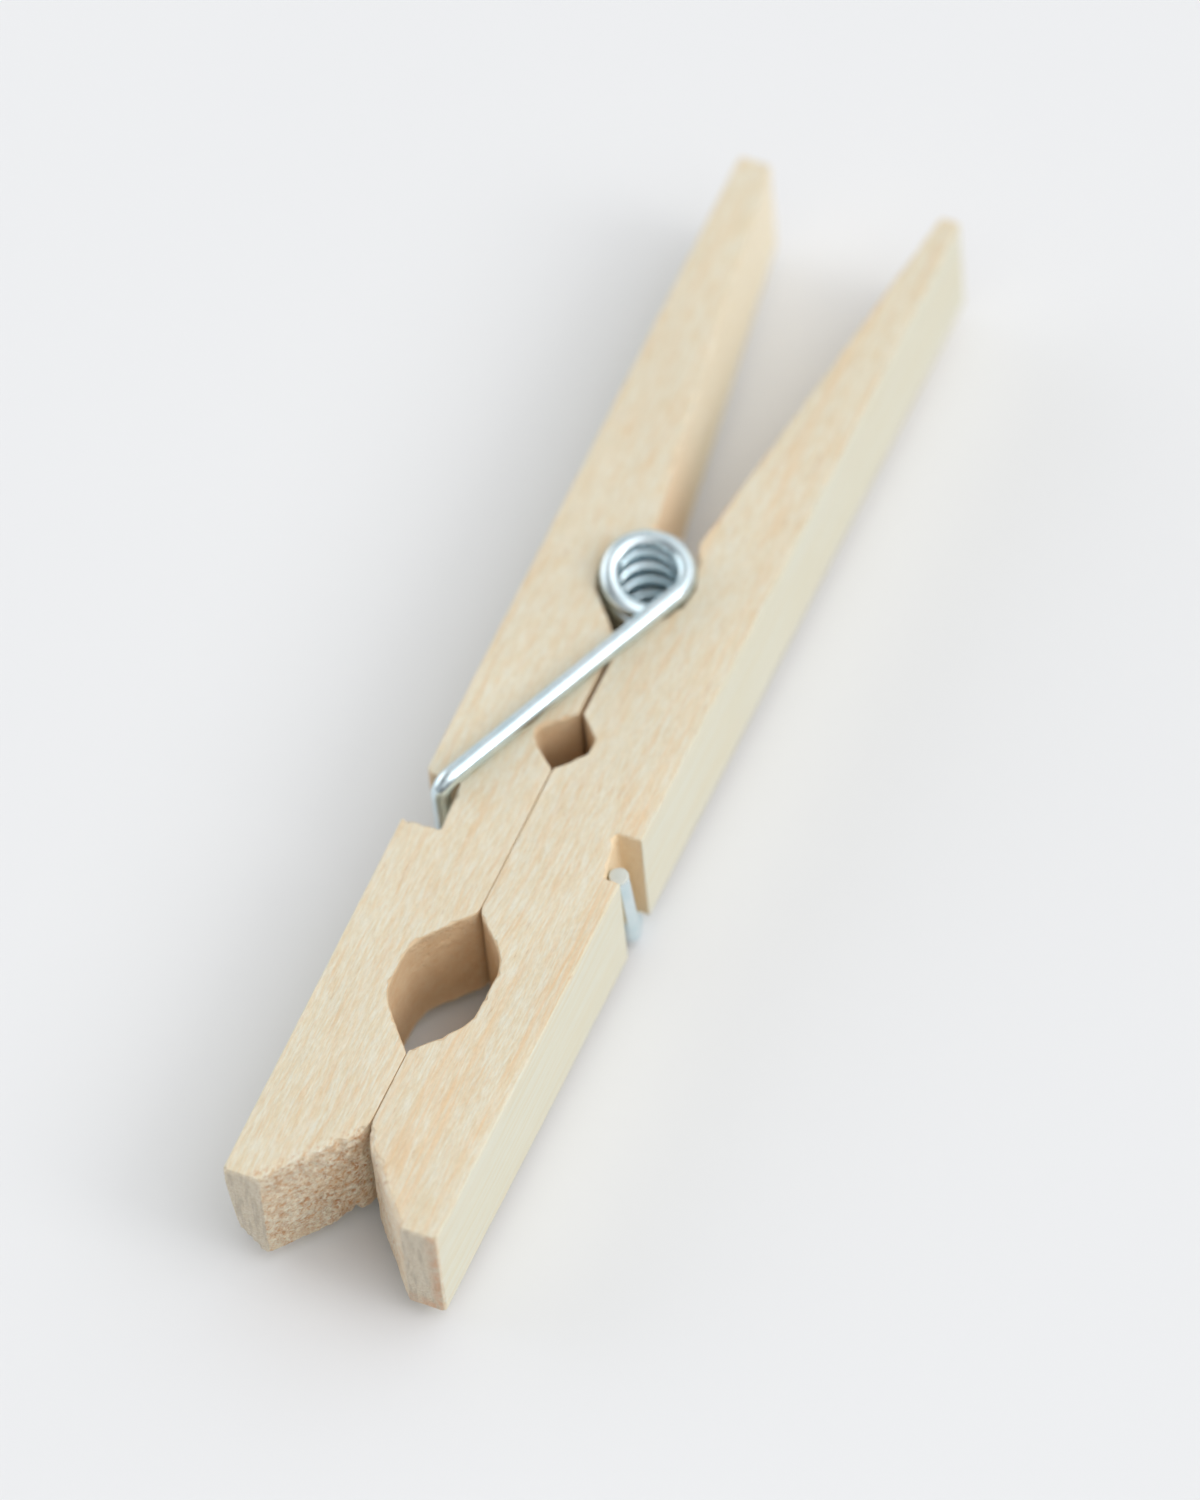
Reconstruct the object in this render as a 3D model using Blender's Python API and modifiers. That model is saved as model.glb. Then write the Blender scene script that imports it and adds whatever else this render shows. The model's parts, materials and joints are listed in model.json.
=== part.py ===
"""A wooden spring clothespin: two milled wooden legs and one steel torsion spring.

Frame, in metres: +Y is the long axis, with the jaws at -Y and the tails at +Y.
+Z is the axis of the spring's coil, which is also the axis on which the legs
turn. The right leg is on the +X side. The origin is the bottom centre of the
whole pin as it lies on its broad side, on the spring's lower arm.

Each leg is a flat outline milled across a stick: a slanted lead-in at the jaw,
a wide hollow that clears a clothesline, a small pinch notch, a seat for the
coil, a thinned tail, and a square notch in the outer face that the spring's
hook drops into. The spring is one wire: a hook, an arm over the broad face, a
coil, an arm under the other broad face and a second hook.
"""

import math
from typing import NamedTuple

import bmesh
import bpy
from mathutils import Matrix, Vector

MM = 0.001

# ---------------------------------------------------------------- both legs
# Distances along a leg are from its front end, at the jaw.
LEG_LENGTH = 72.0 * MM
LEG_THICKNESS = 7.2 * MM          # along the coil's axis
DEPTH_AT_FRONT = 6.20 * MM        # from the jaw plane to the outer face, front end
DEPTH_AT_TAIL = 6.40 * MM         # the same at the tail, where the stick is stouter
LEAD_IN_DEPTH = 4.12 * MM         # the lead-in's opening at the front end
LEAD_IN_LENGTH = 4.75 * MM
SEAT_FRONT = 39.0 * MM            # front lip of the coil seat
SEAT_REAR = 46.5 * MM             # rear lip, where the tail's slope begins
NOTCH_REAR = 27.20 * MM           # rear wall of the outer notch

SPLAY = math.radians(0.25)        # each leg leans out from the jaw tip
JAW_TIP = 5.3 * MM                # where the closed jaws meet
JAW_GAP = 0.07 * MM               # left open between the jaw tips
COIL_FROM_FRONT = 43.2 * MM       # the coil's axis

# Radii of the outline's rounded corners.
FRONT_ROUND = 0.25 * MM
TAIL_ROUND = 0.3 * MM
NOTCH_LIP_ROUND = 0.12 * MM
NOTCH_FLOOR_ROUND = 0.15 * MM
SEAT_FRONT_ROUND = 0.6 * MM
SEAT_REAR_ROUND = 0.35 * MM
LEAD_IN_ROUND = 3.2 * MM
LINE_ROUNDS = (0.5 * MM, 2.6 * MM, 1.4 * MM)    # front lip, floor, rear lip
PINCH_ROUNDS = (0.4 * MM, 0.5 * MM, 0.35 * MM)  # the same of the pinch notch

ARC_STEP = math.radians(7)        # turn per segment of a rounded corner
ARC_ROOM = 0.46                   # most of a side that one corner may take
SEAT_STEPS = 8
EDGE_BEVEL = 0.14 * MM            # broken edges of the milled stick
EDGE_ANGLE = math.radians(60)     # only edges sharper than this are broken


# ---------------------------------------------------------------- each leg
class Hollow(NamedTuple):
    """A cut in the inner face, by distance from the front end."""

    front: float
    depth: float
    floor_front: float
    floor_rear: float
    rear: float


class Leg(NamedTuple):
    """What differs between the two legs, which are milled one by one."""

    line: Hollow              # clears the clothesline
    pinch: Hollow
    seat_radius: float
    seat_shift: float         # how much of TURN_SET the seat's centre takes
    notch_front: float        # front wall of the outer notch
    notch_front_depth: float
    notch_rear_depth: float   # differs from the front, as the floor slopes
    seat_rear_depth: float    # thickness at the seat's rear lip
    tail_depth: float         # thickness at the tail's end


LEFT_LEG = Leg(
    line=Hollow(10.25 * MM, 2.58 * MM, 13.35 * MM, 16.75 * MM, 19.75 * MM),
    pinch=Hollow(29.8 * MM, 1.62 * MM, 31.45 * MM, 32.05 * MM, 33.65 * MM),
    seat_radius=2.88 * MM,
    seat_shift=0.0,
    notch_front=24.05 * MM,
    notch_front_depth=2.30 * MM,
    notch_rear_depth=2.10 * MM,
    seat_rear_depth=5.50 * MM,
    tail_depth=1.90 * MM,
)
RIGHT_LEG = Leg(
    line=Hollow(10.45 * MM, 2.42 * MM, 13.25 * MM, 17.45 * MM, 19.85 * MM),
    pinch=Hollow(29.9 * MM, 1.25 * MM, 31.45 * MM, 32.45 * MM, 33.75 * MM),
    seat_radius=2.70 * MM,
    seat_shift=1.0,
    notch_front=24.36 * MM,
    notch_front_depth=0.95 * MM,
    notch_rear_depth=1.50 * MM,
    seat_rear_depth=4.95 * MM,
    tail_depth=1.20 * MM,
)

# ---------------------------------------------------------------- spring
WIRE = 1.10 * MM                  # diameter of the spring wire
WIRE_CLEARANCE = 0.05 * MM        # wire to wood
WIRE_BEVEL_RESOLUTION = 2
WIRE_SHARP_ANGLE = math.radians(50)
COIL_RADIUS = 2.07 * MM           # of the wire's centre line
WHOLE_TURNS = 6
STEPS_PER_TURN = 24
TURN_TILT = (-0.38 * MM, 0.22 * MM)  # rise of the turns to the right and rearwards
TURN_OPENING = 0.12               # how much the turns open out towards the bottom
TURN_SET = (-0.18 * MM, 0.11 * MM)   # x and y of the middle turns, off the axis
SET_START = (0.02, 0.14)          # parts of the coil over which the set grows
SET_END = (0.86, 0.98)            # and over which it dies away
BEND_RADIUS = 0.95 * MM
BEND_STEPS = 8


class Hook(NamedTuple):
    """The spring's end, by (distance from x = 0, distance from the front end)."""

    bend: tuple
    tip: tuple
    shortfall: float          # from the free end to the far broad face


LEFT_HOOK = Hook(bend=(5.10 * MM, 26.29 * MM), tip=(4.98 * MM, 26.18 * MM), shortfall=1.85 * MM)
RIGHT_HOOK = Hook(bend=(5.92 * MM, 25.90 * MM), tip=(5.93 * MM, 25.05 * MM), shortfall=0.55 * MM)

# ---------------------------------------------------------------- derived
WOOD_BOTTOM = WIRE + WIRE_CLEARANCE
WOOD_TOP = WOOD_BOTTOM + LEG_THICKNESS
ARM_TOP = WOOD_TOP + WIRE_CLEARANCE + WIRE / 2
ARM_BOTTOM = WIRE / 2
# The leg is drawn about the coil's axis, then leans out by SPLAY about it, so
# its jaw plane is set off from the axis by what brings the jaw tips together.
JAW_PLANE = (JAW_GAP / 2 + (COIL_FROM_FRONT - JAW_TIP) * math.sin(SPLAY)) / math.cos(SPLAY)

WELD_DISTANCE = 0.001 * MM


# ---------------------------------------------------------------- helpers
def along(distance):
    """The y about the coil's axis of a distance from the front end."""
    return distance - COIL_FROM_FRONT


def smooth(value, zero, one):
    """Eases from 0 where value is zero to 1 where it is one."""
    part = min(max((value - zero) / (one - zero), 0.0), 1.0)
    return part * part * (3 - 2 * part)


def arc(centre, start, rotations):
    """The points reached by turning start about centre by each rotation."""
    points = []
    for rotation in rotations:
        arm = start - centre
        arm.rotate(rotation)
        points.append(centre + arm)
    return points


def rounded(corners):
    """The points of a closed outline: corners of (x, y, radius), each rounded by
    an arc of its radius, or by the largest arc that its two sides have room for."""
    points = []
    for i, (x, y, radius) in enumerate(corners):
        corner = Vector((x, y))
        if radius == 0:
            points.append(corner)
            continue
        before = Vector(corners[i - 1][:2]) - corner
        after = Vector(corners[(i + 1) % len(corners)][:2]) - corner
        turn = math.pi - before.angle(after)
        room = ARC_ROOM * min(before.length, after.length)
        reach = min(radius * math.tan(turn / 2), room)
        radius = reach / math.tan(turn / 2)
        start = corner + before.normalized() * reach
        bisector = (before.normalized() + after.normalized()).normalized()
        centre = corner + bisector * (radius / math.cos(turn / 2))
        spin = math.copysign(turn, -before.cross(after))
        steps = max(2, round(turn / ARC_STEP))
        turns = [Matrix.Rotation(spin * k / steps, 2) for k in range(steps + 1)]
        points += arc(centre, start, turns)
    return points


def material(name, colour, roughness, metallic=0.0):
    made = bpy.data.materials.new(name)
    made.use_nodes = True
    shader = made.node_tree.nodes["Principled BSDF"]
    shader.inputs["Base Color"].default_value = (*colour, 1.0)
    shader.inputs["Roughness"].default_value = roughness
    shader.inputs["Metallic"].default_value = metallic
    made.diffuse_color = (*colour, 1.0)
    return made


def poly_curve(name, points, dimensions):
    """A curve of straight segments through (x, y, z) points."""
    data = bpy.data.curves.new(name, "CURVE")
    data.dimensions = dimensions
    spline = data.splines.new("POLY")
    spline.points.add(len(points) - 1)
    for target, point in zip(spline.points, points):
        target.co = (*point, 1.0)
    return data


def meshed(data, location, turn, collection):
    """A mesh object made from a curve with its caps welded on, turned about Z."""
    curve = bpy.data.objects.new(data.name, data)
    collection.objects.link(curve)
    curve.location = location
    curve.rotation_euler = (0, 0, turn)
    bpy.context.view_layer.update()
    graph = bpy.context.evaluated_depsgraph_get()
    mesh = bpy.data.meshes.new_from_object(curve.evaluated_get(graph))
    work = bmesh.new()
    work.from_mesh(mesh)
    bmesh.ops.remove_doubles(work, verts=work.verts, dist=WELD_DISTANCE)
    bmesh.ops.recalc_face_normals(work, faces=work.faces)
    work.to_mesh(mesh)
    work.free()
    name, matrix = curve.name, curve.matrix_world.copy()
    # the curve goes first, so that the mesh object can take its name
    bpy.data.objects.remove(curve, do_unlink=True)
    bpy.data.curves.remove(data)
    mesh.name = name
    made = bpy.data.objects.new(name, mesh)
    made.matrix_world = matrix
    collection.objects.link(made)
    return made


# ---------------------------------------------------------------- legs
def outer_face(distance):
    part = distance / LEG_LENGTH
    return JAW_PLANE + DEPTH_AT_FRONT + (DEPTH_AT_TAIL - DEPTH_AT_FRONT) * part


def hollow_corners(hollow, rounds):
    """The corners of a cut in the inner face, from its rear lip to its front lip."""
    front_round, floor_round, rear_round = rounds
    floor = JAW_PLANE + hollow.depth
    return [
        (JAW_PLANE, along(hollow.rear), rear_round),
        (floor, along(hollow.floor_rear), floor_round),
        (floor, along(hollow.floor_front), floor_round),
        (JAW_PLANE, along(hollow.front), front_round),
    ]


def seat_corners(leg):
    """The coil seat, from its rear lip to its front lip: straight flanks, tangent
    to an arc centred on or near the coil's axis."""
    front = Vector((JAW_PLANE, along(SEAT_FRONT)))
    rear = Vector((outer_face(SEAT_REAR) - leg.seat_rear_depth, along(SEAT_REAR)))
    centre = Vector(TURN_SET) * leg.seat_shift
    radius = leg.seat_radius

    def touch(lip, side):
        """The angle at which the flank from a lip touches the arc."""
        arm = lip - centre
        return math.atan2(arm.y, arm.x) + side * math.acos(radius / arm.length)

    first, last = touch(rear, -1), touch(front, 1)
    corners = [(rear.x, rear.y, SEAT_REAR_ROUND)]
    for k in range(SEAT_STEPS + 1):
        angle = first + (last - first) * k / SEAT_STEPS
        x = centre.x + radius * math.cos(angle)
        y = centre.y + radius * math.sin(angle)
        corners.append((x, y, 0))
    corners.append((front.x, front.y, SEAT_FRONT_ROUND))
    return corners


def leg_outline(leg):
    """The right-hand outline of a leg about the coil's axis, anticlockwise from
    the inner corner of the front end. x grows outwards from the pin's centre."""
    notch_front = outer_face(leg.notch_front)
    notch_rear = outer_face(NOTCH_REAR)
    tail = outer_face(LEG_LENGTH)
    return rounded([
        (JAW_PLANE + LEAD_IN_DEPTH, along(0), FRONT_ROUND),
        (outer_face(0), along(0), FRONT_ROUND),
        (notch_front, along(leg.notch_front), NOTCH_LIP_ROUND),
        (notch_front - leg.notch_front_depth, along(leg.notch_front), NOTCH_FLOOR_ROUND),
        (notch_rear - leg.notch_rear_depth, along(NOTCH_REAR), NOTCH_FLOOR_ROUND),
        (notch_rear, along(NOTCH_REAR), NOTCH_LIP_ROUND),
        (tail, along(LEG_LENGTH), TAIL_ROUND),
        (tail - leg.tail_depth, along(LEG_LENGTH), TAIL_ROUND),
        *seat_corners(leg),
        *hollow_corners(leg.pinch, PINCH_ROUNDS),
        *hollow_corners(leg.line, LINE_ROUNDS),
        (JAW_PLANE, along(LEAD_IN_LENGTH), LEAD_IN_ROUND),
    ])


def make_leg(name, leg, side, coil_y, collection, wood):
    """One leg, with its origin on the coil's axis. side is +1 for the right leg
    and -1 for the left, which is drawn mirrored."""
    outline = [(side * point.x, point.y, 0.0) for point in leg_outline(leg)]
    if side < 0:
        outline.reverse()
    data = poly_curve(name, outline, "2D")
    data.splines[0].use_cyclic_u = True
    data.fill_mode = "BOTH"
    data.extrude = LEG_THICKNESS / 2
    middle = (0, coil_y, WOOD_BOTTOM + LEG_THICKNESS / 2)
    made = meshed(data, middle, -side * SPLAY, collection)
    edges = made.modifiers.new("broken_edges", "BEVEL")
    edges.width = EDGE_BEVEL
    edges.segments = 1
    edges.limit_method = "ANGLE"
    edges.angle_limit = EDGE_ANGLE
    made.data.materials.append(wood)


def centred_coil_y():
    """The coil's y that centres the two leaning legs on y = 0."""
    lean = Matrix.Rotation(-SPLAY, 2)
    ys = [(lean @ point).y for leg in (LEFT_LEG, RIGHT_LEG) for point in leg_outline(leg)]
    return -(min(ys) + max(ys)) / 2


# ---------------------------------------------------------------- spring
def hook_wire(hook, side, arm_level, tip_level):
    """The wire's centre line from a hook's free end round its bend, about the
    coil's axis, and the angle on the coil where the arm meets it at a tangent.
    side is -1 for the left hook and +1 for the right."""
    corner = Vector((side * hook.bend[0], along(hook.bend[1]), arm_level))
    tip = Vector((side * hook.tip[0], along(hook.tip[1]), tip_level))
    to_axis = -corner.xy
    heading = math.atan2(to_axis.y, to_axis.x) + side * math.asin(COIL_RADIUS / to_axis.length)
    inward = Vector((math.cos(heading), math.sin(heading), 0))
    tangent = corner + inward * math.sqrt(to_axis.length**2 - COIL_RADIUS**2)

    to_tip = (tip - corner).normalized()
    turn = math.pi - inward.angle(to_tip)
    reach = BEND_RADIUS * math.tan(turn / 2)
    start = corner + to_tip * reach
    centre = corner + (inward + to_tip).normalized() * (BEND_RADIUS / math.cos(turn / 2))
    normal = (start - centre).cross(corner + inward * reach - centre).normalized()
    turns = [Matrix.Rotation(turn * k / BEND_STEPS, 3, normal) for k in range(BEND_STEPS + 1)]
    return [tip] + arc(centre, start, turns), math.atan2(tangent.y, tangent.x)


def coil_wire(first, last):
    """The coil's centre line, going down anticlockwise between two angles."""
    sweep = (last - first) % (2 * math.pi) + 2 * math.pi * WHOLE_TURNS
    steps = round(sweep / (2 * math.pi) * STEPS_PER_TURN)

    def tilt(angle):
        return TURN_TILT[0] * math.cos(angle) + TURN_TILT[1] * math.sin(angle)

    top = ARM_TOP - tilt(first)
    points = []
    for k in range(steps + 1):
        part = k / steps
        angle = first + sweep * part
        # the turns lean at the top, where they are close, and lie flat at the bottom
        lean = (1 - part * part) * tilt(angle)
        aside = smooth(part, *SET_START) * (1 - smooth(part, *SET_END))
        sunk = (1 - TURN_OPENING) * part + TURN_OPENING * part * part
        x = COIL_RADIUS * math.cos(angle) + aside * TURN_SET[0]
        y = COIL_RADIUS * math.sin(angle) + aside * TURN_SET[1]
        points.append(Vector((x, y, top + (ARM_BOTTOM - top) * sunk + lean)))
    return points


def make_spring(name, coil_y, collection, metal):
    """The torsion spring. Its wire runs from the arm on top, which holds the left
    leg, to the arm underneath, which holds the right leg."""
    upper, first = hook_wire(LEFT_HOOK, -1, ARM_TOP, WOOD_BOTTOM + LEFT_HOOK.shortfall)
    lower, last = hook_wire(RIGHT_HOOK, 1, ARM_BOTTOM, WOOD_TOP - RIGHT_HOOK.shortfall)
    data = poly_curve(name, upper + coil_wire(first, last) + lower[::-1], "3D")
    data.bevel_depth = WIRE / 2
    data.bevel_resolution = WIRE_BEVEL_RESOLUTION
    data.use_fill_caps = True
    made = meshed(data, (0, coil_y, 0), 0, collection)
    made.data.shade_smooth()
    made.data.set_sharp_from_angle(angle=WIRE_SHARP_ANGLE)
    made.data.materials.append(metal)


def main():
    for old in list(bpy.data.objects):
        bpy.data.objects.remove(old, do_unlink=True)
    collection = bpy.data.collections.new("clothespin")
    bpy.context.scene.collection.children.link(collection)

    left_wood = material("left_leg_wood", colour=(0.79, 0.67, 0.49), roughness=0.62)
    right_wood = material("right_leg_wood", colour=(0.80, 0.68, 0.50), roughness=0.62)
    zinc = material(
        "torsion_spring_zinc", colour=(0.77, 0.80, 0.83), roughness=0.22, metallic=1.0
    )

    coil_y = centred_coil_y()
    make_leg("left_leg", LEFT_LEG, -1, coil_y, collection, left_wood)
    make_leg("right_leg", RIGHT_LEG, 1, coil_y, collection, right_wood)
    make_spring("torsion_spring", coil_y, collection, zinc)


main()
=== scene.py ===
import json
import math

import bpy
import numpy as np
from mathutils import Matrix, Vector
from mathutils.geometry import delaunay_2d_cdt

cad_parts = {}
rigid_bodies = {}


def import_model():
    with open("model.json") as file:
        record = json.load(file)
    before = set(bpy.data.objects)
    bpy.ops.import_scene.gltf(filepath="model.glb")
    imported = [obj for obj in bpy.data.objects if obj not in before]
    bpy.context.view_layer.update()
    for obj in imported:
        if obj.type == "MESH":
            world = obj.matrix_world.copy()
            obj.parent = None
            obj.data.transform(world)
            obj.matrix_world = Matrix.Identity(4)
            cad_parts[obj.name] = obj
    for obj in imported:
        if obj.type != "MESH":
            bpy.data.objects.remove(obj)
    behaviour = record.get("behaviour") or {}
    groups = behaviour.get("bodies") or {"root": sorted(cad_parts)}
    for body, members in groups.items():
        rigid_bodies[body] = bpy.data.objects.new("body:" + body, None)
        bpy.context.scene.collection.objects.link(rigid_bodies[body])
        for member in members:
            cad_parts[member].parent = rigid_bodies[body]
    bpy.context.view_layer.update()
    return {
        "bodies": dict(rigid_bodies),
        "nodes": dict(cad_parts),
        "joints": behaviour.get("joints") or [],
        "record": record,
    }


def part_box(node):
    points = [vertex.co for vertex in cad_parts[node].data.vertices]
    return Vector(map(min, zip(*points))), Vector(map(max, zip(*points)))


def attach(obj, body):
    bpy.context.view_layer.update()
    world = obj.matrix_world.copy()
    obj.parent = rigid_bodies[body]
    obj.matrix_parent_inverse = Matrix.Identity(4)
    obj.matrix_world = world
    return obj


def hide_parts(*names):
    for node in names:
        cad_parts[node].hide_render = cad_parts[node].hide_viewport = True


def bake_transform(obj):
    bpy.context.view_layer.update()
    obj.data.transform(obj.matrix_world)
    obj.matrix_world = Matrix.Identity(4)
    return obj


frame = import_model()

RECORD = frame["record"]
MM = 0.001

# ------------------------------------------------------------------ the frame
PIVOT = Vector(
    next(j for j in RECORD["behaviour"]["joints"] if j["name"] == "jaw_open")["pos_m"]
) / MM
WOOD_LOW, WOOD_HIGH = (v.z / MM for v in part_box("left_leg"))
WOOD_LOW, WOOD_HIGH = round(WOOD_LOW, 2), round(WOOD_HIGH, 2)
MID = (WOOD_LOW + WOOD_HIGH) / 2
HALF = (WOOD_HIGH - WOOD_LOW) / 2

# ------------------------------------- the sticks' outline, in mm, as in the CAD
LENGTH = 72.0
DEPTH_FRONT, DEPTH_TAIL = 6.20, 6.40
SPLAY = math.radians(0.25)
JAW_TIP, JAW_GAP = 5.3, 0.07
COIL_FROM_FRONT = 43.2
SEAT_FRONT, SEAT_REAR = 39.0, 46.5
LEAD_DEPTH, LEAD_LENGTH = 4.12, 4.75
NOTCH_REAR = 27.20
INNER = (JAW_GAP / 2 + (COIL_FROM_FRONT - JAW_TIP) * math.sin(SPLAY)) / math.cos(SPLAY)
LEFT = {
    "side": -1,
    "line": (10.25, 2.58, 13.35, 16.75, 19.75),
    "pinch": (29.8, 1.62, 31.45, 32.05, 33.65),
    "seat": (2.88, 0.0),
    "notch": (24.05, 2.30, 2.10),
    "seat_rear": 5.50,
    "tail": 1.90,
}
RIGHT = {
    "side": 1,
    "line": (10.45, 2.42, 13.25, 17.45, 19.85),
    "pinch": (29.9, 1.25, 31.45, 32.45, 33.75),
    "seat": (2.70, 1.0),
    "notch": (24.36, 0.95, 1.50),
    "seat_rear": 4.95,
    "tail": 1.20,
}

# --------------------------------------------------------------- the wire, in mm
WIRE = 1.10
WIRE_LIFT = 0.05          # the arms lie this far off the wood
COIL_RADIUS = 2.07
TURN_TILT = (-0.38, 0.22)  # rise of the turns to the right and rearwards
TURN_OPENING = 0.12
TURN_SET = (-0.18, 0.11)  # the turns below the first sit off the axis
WHOLE_TURNS = 6
BEND_RADIUS = 0.95
LEFT_HOOK = ((5.10, 26.29), (4.98, 26.18), 1.85)
RIGHT_HOOK = ((5.92, 25.90), (5.93, 25.05), 0.55)


# ================================================================ small helpers
def srgb(r, g, b):
    """Linear colour of an 8-bit sRGB one."""
    out = []
    for v in (r, g, b):
        v = v / 255.0
        out.append(v / 12.92 if v <= 0.04045 else ((v + 0.055) / 1.055) ** 2.4)
    return (*out, 1.0)


def hashed(ix, iy, iz, seed):
    h = (
        ix.astype(np.uint32) * np.uint32(374761393)
        + iy.astype(np.uint32) * np.uint32(668265263)
        + iz.astype(np.uint32) * np.uint32(2147483647)
        + np.uint32((seed * 1274126177) & 0xFFFFFFFF)
    )
    h = (h ^ (h >> np.uint32(13))) * np.uint32(1274126177)
    h = h ^ (h >> np.uint32(16))
    h = h * np.uint32(2246822519)
    h = h ^ (h >> np.uint32(13))
    return h.astype(np.float64) / 4294967295.0 * 2 - 1


def noise(points, seed):
    """Smooth lattice noise in -1..1 at points of shape (n, 3)."""
    base = np.floor(points)
    f = points - base
    u = f * f * f * (f * (f * 6 - 15) + 10)
    i = base.astype(np.int64)
    total = np.zeros(len(points))
    for dx in (0, 1):
        wx = u[:, 0] if dx else 1 - u[:, 0]
        for dy in (0, 1):
            wy = u[:, 1] if dy else 1 - u[:, 1]
            for dz in (0, 1):
                wz = u[:, 2] if dz else 1 - u[:, 2]
                total += (
                    wx * wy * wz
                    * hashed(i[:, 0] + dx, i[:, 1] + dy, i[:, 2] + dz, seed)
                )
    return total


def fbm(points, seed, octaves=3, gain=0.5):
    total, weight, size = np.zeros(len(points)), 1.0, 0.0
    p = points.copy()
    for k in range(octaves):
        total += weight * noise(p + 17.3 * k, seed + 31 * k)
        size += weight
        weight *= gain
        p = p * 2.03
    return total / size


def step(x, a, b):
    t = np.clip((x - a) / (b - a), 0, 1)
    return t * t * (3 - 2 * t)


def bump_at(x, centre, width):
    return np.exp(-(((x - centre) / width) ** 2))


# ==================================================================== the sticks
def outer(u):
    return INNER + DEPTH_FRONT + (DEPTH_TAIL - DEPTH_FRONT) * u / LENGTH


def rounded(corners, turn_step=math.radians(6)):
    points = []
    count = len(corners)
    for i, (x, y, radius) in enumerate(corners):
        here = Vector((x, y))
        before = Vector(corners[i - 1][:2]) - here
        after = Vector(corners[(i + 1) % count][:2]) - here
        turn = math.pi - before.angle(after)
        if radius <= 0 or turn < 1e-4:
            points.append(here)
            continue
        room = 0.46 * min(before.length, after.length)
        reach = min(radius * math.tan(turn / 2), room)
        radius = reach / math.tan(turn / 2)
        start = here + before.normalized() * reach
        centre = here + (before.normalized() + after.normalized()).normalized() * (
            radius / math.cos(turn / 2)
        )
        spin = math.copysign(1.0, -before.cross(after))
        steps = max(2, min(round(turn / turn_step), math.ceil(turn * radius / 0.035)))
        for k in range(steps + 1):
            arm = (start - centre).copy()
            arm.rotate(Matrix.Rotation(spin * turn * k / steps, 2))
            points.append(centre + arm)
    return points


def seat_points(radius, centre, front, rear):
    def touch(lip, side):
        arm = lip - centre
        return math.atan2(arm.y, arm.x) + side * math.acos(radius / arm.length)

    first, last = touch(front, 1), touch(rear, -1)
    steps = 22
    return [
        (
            centre.x + radius * math.cos(first + (last - first) * k / steps),
            centre.y + radius * math.sin(first + (last - first) * k / steps),
            0,
        )
        for k in range(steps + 1)
    ]


def stick_corners(leg):
    def along(distance):
        return distance - COIL_FROM_FRONT

    corners = [(INNER + LEAD_DEPTH, along(0), 0.25)]
    corners.append((outer(0), along(0), 0.25))
    front, front_depth, rear_depth = leg["notch"]
    corners.append((outer(front), along(front), 0.12))
    corners.append((outer(front) - front_depth, along(front), 0.15))
    corners.append((outer(NOTCH_REAR) - rear_depth, along(NOTCH_REAR), 0.15))
    corners.append((outer(NOTCH_REAR), along(NOTCH_REAR), 0.50 if leg["side"] < 0 else 0.12))
    corners.append((outer(LENGTH), along(LENGTH), 0.3))
    corners.append((outer(LENGTH) - leg["tail"], along(LENGTH), 0.3))
    front_lip = Vector((INNER, along(SEAT_FRONT)))
    rear_lip = Vector((outer(SEAT_REAR) - leg["seat_rear"], along(SEAT_REAR)))
    corners.append((rear_lip.x, rear_lip.y, 0.35))
    corners += reversed(seat_points(leg["seat"][0], Vector(TURN_SET) * leg["seat"][1], front_lip, rear_lip))
    corners.append((front_lip.x, front_lip.y, 0.6))
    start, depth, floor_start, floor_end, end = leg["pinch"]
    corners.append((INNER, along(end), 0.35))
    corners.append((INNER + depth, along(floor_end), 0.5))
    corners.append((INNER + depth, along(floor_start), 0.5))
    corners.append((INNER, along(start), 0.4))
    start, depth, floor_start, floor_end, end = leg["line"]
    corners.append((INNER, along(end), 1.4))
    corners.append((INNER + depth, along(floor_end), 2.6))
    corners.append((INNER + depth, along(floor_start), 2.6))
    corners.append((INNER, along(start), 0.5))
    corners.append((INNER, along(LEAD_LENGTH), 3.2))
    return corners


def zones(leg, xy):
    """What each outline point belongs to, as weights: milled, end, outer, deep."""
    x, u = xy[:, 0], xy[:, 1] + COIL_FROM_FRONT
    face = outer(u)
    is_outer = (np.abs(x - face) < 0.07) & (u > 0.2) & (u < LENGTH - 0.2)
    is_end = (u < 0.12) | (u > LENGTH - 0.12)
    seam = (x < INNER + 0.05) & (u > LEAD_LENGTH) & (u < SEAT_FRONT)
    milled = ~(is_outer | is_end | seam)
    deep = (
        ((u > 10.2) & (u < 20.2) & milled & (x < INNER + 3.2)) * 1.0
        + ((u > 29.6) & (u < 34.0) & milled & (x < INNER + 2.4)) * 1.0
        + ((u > 27.05) & (u < 27.3) & milled & (x > 2.5)) * 0.75
        + ((u > SEAT_FRONT - 0.3) & (u < SEAT_REAR + 0.4) & milled & (x < 4)) * 0.8
    )
    return (
        milled.astype(float), is_end.astype(float), is_outer.astype(float), np.clip(deep, 0, 1),
    )


def smooth_ring(values, rounds):
    for _ in range(rounds):
        values = (np.roll(values, 1) + 2 * values + np.roll(values, -1)) / 4
    return values


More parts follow.
